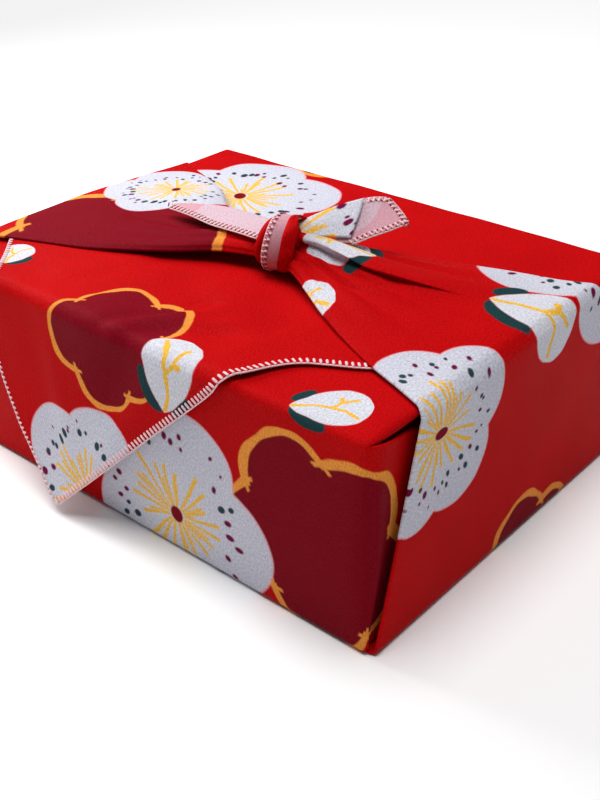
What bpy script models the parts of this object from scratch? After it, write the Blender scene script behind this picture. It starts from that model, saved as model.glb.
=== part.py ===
"""A furoshiki: one square wrapping cloth folded round a low box and tied on top.

Two opposite corners of the cloth are folded over the top, the second one hanging
down over the -X side.  The other two corners are drawn up the +Y and -Y sides as
folded arms and tied in a square knot.  The cloth is a hollow sheet: nothing is inside.

Metres, +Z up, origin at the middle of the base.  The folded corners run along X,
the tied arms run along Y.
"""

import math

import bmesh
import bpy
import numpy as np

# Driving dimensions: the outside of the wrapped block, and the cloth.
HALF_X = 0.102
HALF_Y = 0.1340
HEIGHT = 0.102
CLOTH = 0.0010
LAYER = 0.0017
EDGE_RADIUS = 0.0034

# Second fold: how far its corner hangs and stands off the side, and where along the
# top it settles onto the bare block, past the end of the hidden first fold.
HANG = 0.0955
HANG_STAND_OFF = 0.018
FIRST_FOLD_REACH = 0.120
SETTLES = (0.125, 0.160)

# Edges of both folds turned down over the block's side, behind the arms.
SIDE_TUCK = 0.018
FIRST_TUCK_CLEAR = 0.012

# Walls: how far they and the arms' sides bulge between the block's edges.
WALL_BULGE = 0.0012
ARM_BULGE = 0.0010

# Arms: stand-off from the block, the slant of their folded edges, and the foot that
# runs on under the base, sunk a little into it.
ARM_STAND_OFF = 0.0029
ARM_FOOT_INSET = 0.002
ARM_SLANT = 0.27
ARCH_POWER = 0.7
FOOT_OVERLAP = 0.012
FOOT_SINK = -0.0004

# Wings: the cloth that turns each upright corner, its top edge sagging to an open
# pocket, and ends behind the arm.
WING_STAND_OFF = 0.0014
POCKET_SAG = 0.006
POCKET_RUN = 0.030
POCKET_COVER = 0.012
BEHIND_ARM = (0.020, 0.032)

# Knot: middle of the tie, the size of the band round it, the band behind, and the
# bunched cloth inside both.
KNOT = np.array((-0.0122, -0.0122, 0.1168))
BAND_REACH = np.array((0.0145, 0.0105))
BAND_HALF_WIDTH = 0.0072
BAND_HALF_DEPTH = 0.0028
BAND_TURN = math.radians(-20.0)
BAND_CREASE = 0.0009
BACK_BAND_SHIFT = np.array((0.0016, 0.0118, -0.0006))
BACK_BAND_SCALE = np.array((0.92, 0.93))
BACK_BAND_WIDTH = 0.8 * BAND_HALF_WIDTH
BACK_BAND_TURN = math.radians(10.0)
CORE_SHIFT = np.array((0.0, 0.0040, 0.0))
CORE_REACH = np.array((0.0125, 0.0175, 0.0108))

# Hems of the second fold, each point a distance up the top from the -X edge
# (negative once it hangs) and its place along Y.
HEM_POINT = ("up", "y")
RIGHT_HEM = (
    (0.0742, -0.1340),
    (0.0472, -0.0984),
    (0.0260, -0.0715),
    (0.0000, -0.0550),
    (-0.0276, -0.0325),
    (-0.0705, 0.0122),
    (-0.0955, 0.0360),
)
LEFT_HEM = (
    (0.0481, 0.1340),
    (0.0133, 0.0992),
    (0.0000, 0.0885),
    (-0.0360, 0.0855),
    (-0.0636, 0.0712),
    (-0.0805, 0.0560),
    (-0.0955, 0.0415),
)

# The arms on the top, from the box's edge to the knot.  in: distance from the
# edge, near and far: the folded edges along X, rise: height of the folded edges
# above the top, crest: how much higher the cloth stands between them.
ARM_STATION = ("in", "near", "far", "rise", "crest")
RIGHT_ARM = (
    (0.000, -0.0725, 0.0665, 0.0030, 0.0010),
    (0.015, -0.0665, 0.0595, 0.0031, 0.0025),
    (0.035, -0.0590, 0.0525, 0.0032, 0.0045),
    (0.055, -0.0500, 0.0415, 0.0040, 0.0062),
    (0.075, -0.0405, 0.0295, 0.0056, 0.0074),
    (0.092, -0.0325, 0.0205, 0.0076, 0.0082),
    (0.106, -0.0262, 0.0110, 0.0096, 0.0096),
    (0.122, -0.0232, 0.0004, 0.0108, 0.0112),
)
LEFT_ARM = (
    (0.000, -0.0765, 0.0680, 0.0030, 0.0010),
    (0.015, -0.0705, 0.0610, 0.0031, 0.0022),
    (0.035, -0.0630, 0.0525, 0.0032, 0.0036),
    (0.055, -0.0565, 0.0415, 0.0038, 0.0048),
    (0.078, -0.0460, 0.0235, 0.0052, 0.0058),
    (0.099, -0.0360, 0.0130, 0.0070, 0.0066),
    (0.118, -0.0270, 0.0060, 0.0092, 0.0084),
    (0.138, -0.0225, -0.0005, 0.0106, 0.0104),
)

# Pleats of an arm: at_knot and at_edge are shares of the arm's width there, width is
# a share too, depth is at the knot, reach is how far from the knot the pleat runs,
# as a share of the arm's length on the top.
PLEAT = ("at_knot", "at_edge", "width", "depth", "reach")
RIGHT_PLEATS = (
    (0.44, 0.66, 0.075, 0.0042, 0.85),
    (0.52, 0.34, 0.060, 0.0018, 0.95),
    (0.80, 0.84, 0.060, 0.0016, 0.70),
)
LEFT_PLEATS = (
    (0.55, 0.62, 0.075, 0.0036, 0.80),
    (0.35, 0.30, 0.060, 0.0018, 0.85),
)

# Loose ends: the middle line of each, its half width, its roll about that line, and
# how much its middle stands up as a share of the half width.
TAIL_CUP = 0.12
TAIL_STEPS = 12
TAIL_POINT = ("x", "y", "z", "half_width", "roll_deg")
RIGHT_TAIL = (
    (-0.0130, -0.0120, 0.1200, 0.0048, -20.0),
    (-0.0063, -0.0167, 0.1215, 0.0050, -24.0),
    (0.0012, -0.0205, 0.1225, 0.0064, -28.0),
    (0.0079, -0.0259, 0.1235, 0.0084, -30.0),
    (0.0152, -0.0342, 0.1255, 0.0108, -30.0),
    (0.0232, -0.0425, 0.1260, 0.0090, -26.0),
    (0.0276, -0.0527, 0.1255, 0.0022, -20.0),
)
LEFT_TAIL = (
    (-0.0122, -0.0080, 0.1205, 0.0056, 14.0),
    (-0.0098, 0.0060, 0.1210, 0.0066, 18.0),
    (-0.0112, 0.0265, 0.1200, 0.0050, 20.0),
    (-0.0120, 0.0420, 0.1190, 0.0032, 20.0),
    (-0.0140, 0.0565, 0.1180, 0.0010, 16.0),
)

# Stations round a folded edge, as shares of the edge radius.
ROUND = (-1.0, -0.586, 0.0, 0.586, 1.0)
SIDE_COLUMNS = 5
TINY = 1e-9


def clear_scene():
    for old in list(bpy.data.objects):
        bpy.data.objects.remove(old, do_unlink=True)


def smooth_step(low, high, value):
    share = min(max((value - low) / (high - low), 0.0), 1.0)
    return share * share * (3.0 - 2.0 * share)


def spread(start, end, count):
    """Count values from start to end, leaving out the end."""
    return [start + (end - start) * step / count for step in range(count)]


def bend(edge):
    """Stations round a folded edge of the block."""
    return [edge + EDGE_RADIUS * share for share in ROUND]


def from_table(header, table, column, at):
    """The named column of a table at a place along its first column, on a smooth curve."""
    rows = sorted(table)
    places = [row[0] for row in rows]
    values = [row[header.index(column)] for row in rows]
    if at <= places[0]:
        return values[0]
    if at >= places[-1]:
        return values[-1]
    slopes = [(values[i + 1] - values[i]) / (places[i + 1] - places[i]) for i in range(len(rows) - 1)]
    tangents = [slopes[0]]
    for before, after in zip(slopes, slopes[1:]):
        tangents.append(0.0 if before * after <= 0 else 2 * before * after / (before + after))
    tangents.append(slopes[-1])
    i = max(k for k in range(len(rows) - 1) if places[k] <= at)
    span = places[i + 1] - places[i]
    t = (at - places[i]) / span
    return (
        values[i] * (2 * t**3 - 3 * t**2 + 1)
        + tangents[i] * span * (t**3 - 2 * t**2 + t)
        + values[i + 1] * (3 * t**2 - 2 * t**3)
        + tangents[i + 1] * span * (t**3 - t**2)
    )


def round_block(x, y, z, stand_off):
    """Moves a point of the sharp block onto its rounded form, and off it by stand_off."""
    core = np.array(
        (
            min(max(x, EDGE_RADIUS - HALF_X), HALF_X - EDGE_RADIUS),
            min(max(y, EDGE_RADIUS - HALF_Y), HALF_Y - EDGE_RADIUS),
            min(max(z, EDGE_RADIUS), HEIGHT - EDGE_RADIUS),
        )
    )
    away = np.array((x, y, z)) - core
    return core + away / np.linalg.norm(away) * (EDGE_RADIUS + stand_off)


def round_side(x, y, z, stand_off):
    """As round_block, but round the edges along X alone, for a sheet that runs over them."""
    core_y = min(max(y, EDGE_RADIUS - HALF_Y), HALF_Y - EDGE_RADIUS)
    core_z = min(max(z, EDGE_RADIUS), HEIGHT - EDGE_RADIUS)
    share = (EDGE_RADIUS + stand_off) / math.hypot(y - core_y, z - core_z)
    return np.array((x, core_y + (y - core_y) * share, core_z + (z - core_z) * share))


def closed_sheet(name, outer, inner, present):
    """A closed thin solid between two grids of points, cells not present left out."""
    rows, columns = outer.shape[:2]
    mesh_work = bmesh.new()
    outside = {}
    inside = {}
    cells = [(i, j) for i in range(rows - 1) for j in range(columns - 1) if present(i, j)]
    for i, j in cells:
        for corner in ((i, j), (i + 1, j), (i + 1, j + 1), (i, j + 1)):
            if corner not in outside:
                outside[corner] = mesh_work.verts.new(outer[corner])
                inside[corner] = mesh_work.verts.new(inner[corner])
    borders = {}
    for i, j in cells:
        ring = [(i, j), (i + 1, j), (i + 1, j + 1), (i, j + 1)]
        mesh_work.faces.new([outside[corner] for corner in ring])
        mesh_work.faces.new([inside[corner] for corner in reversed(ring)])
        for start, end in zip(ring, ring[1:] + ring[:1]):
            if (end, start) in borders:
                del borders[(end, start)]
            else:
                borders[(start, end)] = True
    for start, end in borders:
        mesh_work.faces.new((outside[end], outside[start], inside[start], inside[end]))
    return finish_mesh(name, mesh_work)


def finish_mesh(name, mesh_work):
    bmesh.ops.recalc_face_normals(mesh_work, faces=mesh_work.faces)
    bmesh.ops.triangulate(mesh_work, faces=mesh_work.faces)
    mesh = bpy.data.meshes.new(name)
    mesh_work.to_mesh(mesh)
    mesh_work.free()
    piece = bpy.data.objects.new(name, mesh)
    bpy.context.scene.collection.objects.link(piece)
    return piece


def cloth_material():
    material = bpy.data.materials.new("red_crepe")
    material.use_nodes = True
    shader = material.node_tree.nodes["Principled BSDF"]
    shader.inputs["Base Color"].default_value = (0.62, 0.010, 0.014, 1.0)
    shader.inputs["Roughness"].default_value = 0.62
    shader.inputs["Metallic"].default_value = 0.0
    return material


# The folded strip: from the hidden end of the first fold, down the -X side, under
# the base, up the +X side and over the top again as the second fold.


def hem_crossing(hem):
    """Where a hem of the second fold crosses the block's long edge, as a distance up."""
    return hem[0][HEM_POINT.index("up")]


def second_fold_limits(up):
    """Where the hems of the second fold lie, as (right, left) along Y."""
    tuck_right = min(max(up - hem_crossing(RIGHT_HEM), 0.0), SIDE_TUCK)
    tuck_left = min(max(up - hem_crossing(LEFT_HEM), 0.0), SIDE_TUCK)
    return (
        from_table(HEM_POINT, RIGHT_HEM, "y", up) - tuck_right,
        from_table(HEM_POINT, LEFT_HEM, "y", up) + tuck_left,
    )


def wing_reach(height):
    """How far a corner's wing runs along the +Y or -Y side, to end behind the arm."""
    return ARM_FOOT_INSET + ARM_SLANT * height + POCKET_COVER


def strip_rows():
    """Rows of the strip as (sign, distance from the middle of the base)."""
    top = HALF_X + HEIGHT
    first = (
        spread(0.0, HALF_X - EDGE_RADIUS, 2)
        + bend(HALF_X)
        + spread(HALF_X + EDGE_RADIUS, top - EDGE_RADIUS, 5)[1:]
        + bend(top)
        + spread(top + EDGE_RADIUS, top + FIRST_FOLD_REACH, 5)[1:]
        + [top + FIRST_FOLD_REACH]
    )
    over = top + 2 * HALF_X
    crossings = []
    for hem in (RIGHT_HEM, LEFT_HEM):
        crossings += [over - hem_crossing(hem), over - hem_crossing(hem) + EDGE_RADIUS]
    second = (
        spread(0.0, HALF_X - EDGE_RADIUS, 2)[1:]
        + bend(HALF_X)
        + spread(HALF_X + EDGE_RADIUS, top - EDGE_RADIUS, 5)[1:]
        + bend(top)
        + spread(top + EDGE_RADIUS, crossings[0], 5)[1:]
        + crossings
        + spread(crossings[-1], over - EDGE_RADIUS, 3)[1:]
        + bend(over)
        + spread(over + EDGE_RADIUS, over + HANG, 8)[1:]
        + [over + HANG]
    )
    return [(-1, p) for p in reversed(first)] + [(1, p) for p in second]


def side_steps(reach):
    """Distances past the block's edge for the columns of a side piece."""
    if reach < 2.0 * EDGE_RADIUS:
        return spread(0.0, reach, SIDE_COLUMNS)[1:] + [reach]
    flat = spread(EDGE_RADIUS, reach, SIDE_COLUMNS - 2)[1:] + [reach]
    return [ROUND[3] * EDGE_RADIUS, EDGE_RADIUS] + flat


def main_columns():
    """Places along Y across the block, closer together at its edges."""
    edge = [HALF_Y - share * EDGE_RADIUS for share in ROUND[2:]]
    inner = spread(EDGE_RADIUS - HALF_Y, HALF_Y - EDGE_RADIUS, 8)[1:]
    return [-y for y in edge] + inner + list(reversed(edge))


def strip_point(sign, p, side, q, depth):
    """Place of one point of the strip: p from the middle of the base, q along Y.

    side is -1 or 1 on the pieces past the block's edges, where q is the distance
    past that edge, and 0 between them.  depth is how far inside the cloth's outer face.
    """
    up_side = p - HALF_X
    along = p - HALF_X - HEIGHT
    y = q if side == 0 else side * HALF_Y
    past = 0.0 if side == 0 else q
    if up_side <= 0.0:
        return round_block(sign * p, y, 0.0, -depth)
    if along <= 0.0:
        climb = up_side / HEIGHT
        sag = POCKET_SAG * climb**3 * smooth_step(0.0, POCKET_RUN, past)
        bulge = math.sin(math.pi * min(past / POCKET_RUN, 1.0)) * (1.0 - smooth_step(*BEHIND_ARM, past))
        stand_off = WING_STAND_OFF * smooth_step(0.0, EDGE_RADIUS, past) + WALL_BULGE * climb * bulge
        if side == 0:
            middle = math.cos(0.5 * math.pi * y / HALF_Y)
            stand_off = WALL_BULGE * middle * math.sin(math.pi * climb)
        return round_block(sign * (HALF_X - past), y, up_side - sag, stand_off - depth)
    if sign < 0:
        return round_block(along - HALF_X, y, HEIGHT - past, -depth)
    up = 2.0 * HALF_X - along
    lift = LAYER * (1.0 - smooth_step(*SETTLES, up))
    if up >= 0.0:
        return round_block(up - HALF_X, y, HEIGHT - past, lift - depth)
    fall = -up / HANG
    hang_off = LAYER + (HANG_STAND_OFF - LAYER) * (0.75 * fall + 0.25 * fall**4)
    return round_block(-HALF_X, y, HEIGHT + up, hang_off - depth)


def folded_strip():
    rows = strip_rows()
    main = main_columns()
    top = HALF_X + HEIGHT
    steps = range(1, SIDE_COLUMNS + 1)
    columns = [(-1, step) for step in reversed(steps)] + [(0, k) for k in range(len(main))]
    columns += [(1, step) for step in steps]
    outer = np.zeros((len(rows), len(columns), 3))
    inner = np.zeros_like(outer)
    for i, (sign, p) in enumerate(rows):
        along = p - top
        limits = (-HALF_Y, HALF_Y)
        tucks = (SIDE_TUCK, SIDE_TUCK)
        if sign > 0 and along > 0.0:
            right, left = second_fold_limits(2.0 * HALF_X - along)
            limits = (max(right, -HALF_Y), min(left, HALF_Y))
            tucks = (max(-HALF_Y - right, 0.0), max(left - HALF_Y, 0.0))
        if along <= 0.0:
            reach = wing_reach(max(p - HALF_X, 0.0))
            tucks = (reach, reach)
        for j, (side, k) in enumerate(columns):
            if side == 0:
                share = 0.5 + 0.5 * main[k] / HALF_Y
                q = limits[0] + (limits[1] - limits[0]) * share
            else:
                q = side_steps(max(tucks[side > 0], CLOTH * 0.1))[k - 1]
            outer[i, j] = strip_point(sign, p, side, q, 0.0)
            inner[i, j] = strip_point(sign, p, side, q, CLOTH)

    def present(i, j):
        """Which cells are cloth: all between the block's edges, and past them where it turns."""
        sign = rows[i][0] if rows[i][1] else rows[i + 1][0]
        low, high = sorted((rows[i][1], rows[i + 1][1]))
        pair = (columns[j], columns[j + 1])
        side = min(pair)[0] if min(pair)[0] < 0 else max(pair)[0]
        if high <= HALF_X + TINY:
            return side == 0 and max(abs(main[k]) for _, k in pair) <= HALF_Y - EDGE_RADIUS + TINY
        if side == 0:
            return True
        if high <= top + TINY:
            return low >= HALF_X + EDGE_RADIUS - TINY and high <= top - EDGE_RADIUS + TINY
        if low < top + EDGE_RADIUS - TINY:
            return False
        crossing = hem_crossing(RIGHT_HEM if side < 0 else LEFT_HEM)
        if sign < 0:
            return high <= top + crossing - FIRST_TUCK_CLEAR
        return high <= top + 2.0 * HALF_X - crossing + TINY

    return closed_sheet("furoshiki_cloth", outer, inner, present)


# The arms: from under the edge of the base, up the side and over the top to the knot.


def arm_rows(arm):
    end = HEIGHT + arm[-1][ARM_STATION.index("in")]
    return (
        spread(-FOOT_OVERLAP, -EDGE_RADIUS, 2)
        + bend(0.0)
        + spread(EDGE_RADIUS, HEIGHT - EDGE_RADIUS, 4)[1:]
        + bend(HEIGHT)
        + spread(HEIGHT + EDGE_RADIUS, end, 11)[1:]
        + [end]
    )


def pleat_drop(pleats, across, to_edge):
    """How deep the pleats lie at a share across the arm, to_edge from 0 at the knot to 1."""
    drop = 0.0
    for row in pleats:
        pleat = dict(zip(PLEAT, row))
        middle = pleat["at_knot"] + (pleat["at_edge"] - pleat["at_knot"]) * to_edge
        fade = 1.0 - smooth_step(0.35 * pleat["reach"], pleat["reach"], to_edge)
        drop += pleat["depth"] * fade * math.exp(-(((across - middle) / pleat["width"]) ** 2))
    return drop


def whole(i, j):
    """For a sheet with no cells left out."""
    return True


def tied_arm(name, side, arm, pleats):
    """One folded corner from its foot to the knot, side 1 at -Y and -1 at +Y."""
    shares = [0.0, 0.03, 0.08] + spread(0.15, 0.92, 10) + [0.92, 0.97, 1.0]
    rows = arm_rows(arm)
    faces = np.zeros((2, len(rows), len(shares), 3))
    for i, height in enumerate(rows):
        inward = max(height - HEIGHT, 0.0)
        near, far, rise, crest = (
            from_table(ARM_STATION, arm, column, inward) for column in ARM_STATION[1:]
        )
        if inward == 0.0:
            climb = max(height, 0.0) / HEIGHT
            foot_x = HALF_X - ARM_FOOT_INSET
            near = -foot_x + (near + foot_x) * climb
            far = foot_x + (far - foot_x) * climb
            rise = FOOT_SINK + (ARM_STAND_OFF - FOOT_SINK) * smooth_step(-EDGE_RADIUS, EDGE_RADIUS, height)
            crest = ARM_BULGE * smooth_step(0.2 * HEIGHT, HEIGHT, height)
        to_edge = 1.0 - inward / (rows[-1] - HEIGHT)
        for j, across in enumerate(shares):
            lift = rise + crest * math.sin(math.pi * across) ** ARCH_POWER
            if inward > 0.0:
                lift -= pleat_drop(pleats, across, to_edge)
            x = near + (far - near) * across
            y = inward - HALF_Y - min(height, 0.0)
            for face, depth in enumerate((0.0, CLOTH)):
                spot = round_side(x, y, min(max(height, 0.0), HEIGHT), lift - depth)
                faces[face, i, j] = (spot[0], -side * spot[1], spot[2])
    return closed_sheet(name, faces[0], faces[1], whole)


# The knot and its loose ends.


def knot_core():
    mesh_work = bmesh.new()
    bmesh.ops.create_uvsphere(mesh_work, u_segments=14, v_segments=9, radius=1.0)
    for vert in mesh_work.verts:
        vert.co = KNOT + CORE_SHIFT + CORE_REACH * np.array(vert.co)
    return finish_mesh("knot_core", mesh_work)


def knot_band(name, middle, reach, half_width, turn, segments=22, sides=10):
    """A band of bunched cloth drawn round the arms, as a closed ring, narrower below."""
    mesh_work = bmesh.new()
    grid = []
    for segment in range(segments):
        angle = 2.0 * math.pi * segment / segments
        pull = 1.0 + 0.05 * math.cos(3.0 * angle + 0.6)
        width_here = half_width * (1.0 - 0.22 * smooth_step(0.0, 1.0, -math.sin(angle)))
        ring = []
        for corner in range(sides):
            round_band = 2.0 * math.pi * corner / sides
            out = BAND_HALF_DEPTH * math.cos(round_band)
            out -= BAND_CREASE * math.exp(-((math.sin(round_band) / 0.35) ** 2)) * (out > 0.0)
            along = width_here * math.sin(round_band)
            x = (reach[0] * pull + out) * math.cos(angle)
            z = (reach[1] * pull + out) * math.sin(angle)
            turned_x = x * math.cos(turn) - along * math.sin(turn)
            turned_y = x * math.sin(turn) + along * math.cos(turn)
            ring.append(mesh_work.verts.new(np.array((turned_x, turned_y, z)) + middle))
        grid.append(ring)
    for segment in range(segments):
        for corner in range(sides):
            onward = (segment + 1) % segments
            beside = (corner + 1) % sides
            mesh_work.faces.new(
                (grid[segment][corner], grid[segment][beside], grid[onward][beside], grid[onward][corner])
            )
    return finish_mesh(name, mesh_work)


def loose_end(name, tail):
    """A thin tapered end of the cloth, swept along the table's middle line."""
    shares = (-1.0, -0.5, 0.0, 0.5, 1.0)
    header = ("row",) + TAIL_POINT
    numbered = [(k,) + point for k, point in enumerate(tail)]
    spots = []
    for step in range(TAIL_STEPS + 1):
        at = step * (len(tail) - 1) / TAIL_STEPS
        spots.append([from_table(header, numbered, column, at) for column in TAIL_POINT])
    lines = np.array([spot[:3] for spot in spots])
    outer = np.zeros((len(spots), len(shares), 3))
    inner = np.zeros_like(outer)
    for step, (x, y, z, half_width, roll_deg) in enumerate(spots):
        onward = lines[min(step + 1, TAIL_STEPS)] - lines[max(step - 1, 0)]
        level = np.cross(onward, (0.0, 0.0, 1.0))
        level /= np.linalg.norm(level)
        upward = np.cross(level, onward)
        upward /= np.linalg.norm(upward)
        roll = math.radians(roll_deg)
        width_way = level * math.cos(roll) + upward * math.sin(roll)
        raised = upward * math.cos(roll) - level * math.sin(roll)
        for j, share in enumerate(shares):
            cup = TAIL_CUP * half_width * (1.0 - share * share)
            middle = np.array((x, y, z)) + width_way * half_width * share
            outer[step, j] = middle + raised * (cup + 0.5 * CLOTH)
            inner[step, j] = middle + raised * (cup - 0.5 * CLOTH)
    return closed_sheet(name, outer, inner, whole)


def main():
    clear_scene()
    cloth = folded_strip()
    pieces = [
        tied_arm("right_arm", 1, RIGHT_ARM, RIGHT_PLEATS),
        tied_arm("left_arm", -1, LEFT_ARM, LEFT_PLEATS),
        knot_core(),
        knot_band("front_band", KNOT, BAND_REACH, BAND_HALF_WIDTH, BAND_TURN),
        knot_band(
            "back_band",
            KNOT + BACK_BAND_SHIFT,
            BAND_REACH * BACK_BAND_SCALE,
            BACK_BAND_WIDTH,
            BACK_BAND_TURN,
        ),
        loose_end("right_tail", RIGHT_TAIL),
        loose_end("left_tail", LEFT_TAIL),
    ]
    for piece in pieces:
        piece.hide_render = True
        piece.display_type = "WIRE"
        union = cloth.modifiers.new("join_" + piece.name, "BOOLEAN")
        union.operation = "UNION"
        union.solver = "EXACT"
        union.object = piece
    cloth.data.materials.append(cloth_material())
    cloth.data.shade_smooth()
    cloth.data.set_sharp_from_angle(angle=math.radians(40.0))


main()
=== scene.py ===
import math

import bmesh
import bpy
import numpy as np
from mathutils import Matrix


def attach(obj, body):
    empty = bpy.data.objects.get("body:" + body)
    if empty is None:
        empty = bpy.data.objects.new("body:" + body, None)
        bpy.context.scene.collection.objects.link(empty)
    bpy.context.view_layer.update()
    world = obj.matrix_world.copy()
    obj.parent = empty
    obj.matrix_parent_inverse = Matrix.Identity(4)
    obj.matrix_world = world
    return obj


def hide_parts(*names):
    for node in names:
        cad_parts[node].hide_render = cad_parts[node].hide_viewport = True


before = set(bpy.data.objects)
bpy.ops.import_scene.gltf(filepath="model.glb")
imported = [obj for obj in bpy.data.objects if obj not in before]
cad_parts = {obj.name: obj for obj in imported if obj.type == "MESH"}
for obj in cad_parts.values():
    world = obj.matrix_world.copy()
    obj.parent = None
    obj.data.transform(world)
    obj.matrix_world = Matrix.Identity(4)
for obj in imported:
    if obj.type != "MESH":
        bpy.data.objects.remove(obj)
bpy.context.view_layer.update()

# plain helpers


def smoothStep(low, high, value):
    share = np.clip((np.asarray(value, float) - low) / (high - low), 0.0, 1.0)
    return share * share * (3.0 - 2.0 * share)


def curveValue(points, at):
    # a smooth value from (place, value) points, with no overshoot between them
    places, values = np.array(sorted(map(tuple, points)), float).T
    slopes = np.diff(values) / np.diff(places)
    before, after = slopes[:-1], slopes[1:]
    level = np.where(before * after > 0, 2 * before * after / np.where(before + after == 0, 1, before + after), 0.0)
    tangents = np.concatenate((slopes[:1], level, slopes[-1:]))
    at = np.clip(np.asarray(at, float), places[0], places[-1])
    i = np.clip(np.searchsorted(places, at, side="right") - 1, 0, len(slopes) - 1)
    span = places[i + 1] - places[i]
    t = (at - places[i]) / span
    return (
        values[i] * (2 * t**3 - 3 * t**2 + 1)
        + tangents[i] * span * (t**3 - 2 * t**2 + t)
        + values[i + 1] * (3 * t**2 - 2 * t**3)
        + tangents[i + 1] * span * (t**3 - t**2)
    )


def smoothLine(points, count):
    # count places on a smooth line through the given ones; works on rows of points too
    points = np.asarray(points, float)
    ends = np.concatenate((2 * points[:1] - points[1:2], points, 2 * points[-1:] - points[-2:-1]))
    at = np.linspace(0, len(points) - 1, count)
    first = np.minimum(at.astype(int), len(points) - 2)
    t = (at - first).reshape((-1,) + (1,) * (points.ndim - 1))
    a, b, c, d = (ends[first + step] for step in range(4))
    return 0.5 * (2 * b + (c - a) * t + (2 * a - 5 * b + 4 * c - d) * t**2 + (3 * b - a - 3 * c + d) * t**3)


def steps(start, end, size):
    return list(np.linspace(start, end, max(1, round(abs(end - start) / size)) + 1))


def joined(*runs):
    # several runs of places as one, without repeats
    places = sorted(place for run in runs for place in run)
    return np.array([p for k, p in enumerate(places) if k == 0 or p - places[k - 1] > 1e-6])


def unit(vectors):
    return vectors / np.maximum(np.linalg.norm(vectors, axis=-1, keepdims=True), 1e-12)


def stacked(*parts):
    return np.stack(np.broadcast_arrays(*parts), axis=-1)


def grid(first, second):
    return np.meshgrid(first, second, indexing="ij")


def runAlong(points):
    # the distance of each point of a line from its first one
    return np.concatenate(([0], np.cumsum(np.linalg.norm(np.diff(points, axis=0), axis=-1))))


def unevenness(flat, size, height, seed):
    # slow swells of the cloth, a few crossing waves with fixed phases
    total = 0.0
    for k in range(5):
        turn = seed + 2.4 * k
        pace = 2 * math.pi / (size * (0.7 + 0.23 * k))
        total = total + np.sin(pace * (flat[..., 0] * math.cos(turn) + flat[..., 1] * math.sin(turn)) + 5.1 * turn)
    return height * total / 3.0


def newObject(name, data):
    thing = bpy.data.objects.new(name, data)
    bpy.context.scene.collection.objects.link(thing)
    return thing


# the wrapped block

block = {"halfX": 0.102, "halfY": 0.134, "height": 0.102, "edge": 0.0034, "softCorner": 0.0042,
         "cloth": 0.0006, "rowSize": 0.0042}
halfX, halfY, boxTop, edge = (block[name] for name in ("halfX", "halfY", "height", "edge"))
bendShares = (-1.0, -0.732, -0.423, 0.0, 0.423, 0.732, 1.0)


def bend(place):
    return [place + edge * share for share in bendShares]


def aroundBlock(x, y, z, standOff, sides=True):
    # moves points of the sharp block onto its rounded form; sides=False rounds no upright edge
    x, y, z, standOff = np.broadcast_arrays(*(np.asarray(v, float) for v in (x, y, z, standOff)))
    climb = np.clip((z - edge) / (boxTop - 2 * edge), 0.0, 1.0)
    wide = edge + block["softCorner"] * np.sin(math.pi * climb) ** 0.8 if sides else edge
    coreX = np.clip(x, wide - halfX, halfX - wide) if sides else x
    coreY = np.clip(y, wide - halfY, halfY - wide)
    core = stacked(coreX, coreY, np.clip(z, edge, boxTop - edge))
    away = stacked(x, y, z) - core
    reach = np.where(np.abs(away[..., 2]) > 1e-9, edge, wide) + standOff
    return core + unit(away) * reach[..., None]


# the folded strip

# the strip runs from the hidden end of the first fold down the -X side, under the base,
# up the +X side and over the top as the second fold, whose corner hangs over the -X side
strip = {
    "firstReach": 0.12, "layer": 0.0017, "settles": (0.125, 0.16), "hang": 0.0955, "hangStandOff": 0.018,
    "hangHalfWidth": 0.12, "sideTuck": 0.018, "tuckColumns": 7, "firstTuckClear": 0.012, "tuckDepth": 0.0065,
    "hemSink": 0.0008, "softBend": 0.0013, "softBendReach": 0.011, "wallBulge": 0.0012, "swell": 0.00022,
    "swellSize": 0.055, "baseRows": 0.012,
    # over the top: where the rows change size, and their size before and after
    "firstRows": (0.082, 0.003, 0.006),
    "secondRows": (0.07, 0.005, 0.003),
    "hangRows": 0.0026,
    # hems in millimetres: distance up the top from the -X edge, negative on the hanging part, and place along Y
    "rightHem": ((74.2, -134), (42.2, -101.2), (27.7, -76.8), (18.1, -70.2), (5.4, -65.2), (-3.2, -59), (-16.9, -45.3),
                 (-38.6, -22), (-69.7, 10.3), (-95.5, 37.5)),
    "leftHem": ((48.1, 134), (13.3, 99.2), (0, 88.5), (-36, 85.5), (-63.6, 71.2), (-80.5, 56), (-95.5, 41.5)),
}
hemCrossings = [strip[name][0][0] * 0.001 for name in ("rightHem", "leftHem")]

# soft troughs and ridges in millimetres: from and to on the flat cloth, half width, height
stripCreases = (
    ((366, -52), (330, -20), 10, -0.7), ((352, -30), (398, 4), 12, 0.6), ((372, 60), (330, 30), 12, -0.6),
    ((402, 20), (455, 30), 14, 0.9), ((400, -12), (440, 4), 10, -0.9), ((410, 62), (470, 48), 12, -0.8),
    ((394, -2), (373, -32), 4.5, 1.1), ((401, -6), (381, -38), 4.5, -0.9), ((352, -62), (392, -50), 7, 0.7),
    ((345, -40), (380, 10), 9, -0.6), ((330, 40), (372, 85), 10, 0.6), ((425, -20), (470, 10), 8, 0.9),
    ((430, 45), (480, 30), 7, 0.8), ((405, 10), (364, -11), 3.5, -1.2), ((407, 2), (367, -18), 5, 1),
    ((384, 66), (352, 50), 8, 0.9), ((352, 16), (380, -30), 9, -0.8), ((-206, -60), (-230, -100), 12, -0.4),
    ((-120, -40), (-190, -90), 20, 0.5), ((-130, 20), (-185, 60), 22, -0.4),
)


def creases(flat):
    flat, total = flat * 1000, 0.0
    for start, end, width, height in stripCreases:
        start, run = np.array(start), np.array(end) - np.array(start)
        share = np.clip(((flat - start) @ run) / (run @ run), 0.0, 1.0)
        apart = np.linalg.norm(flat - start - share[..., None] * run, axis=-1)
        total = total + height * np.exp(-((apart / width) ** 2))
    return total * 0.001


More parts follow.
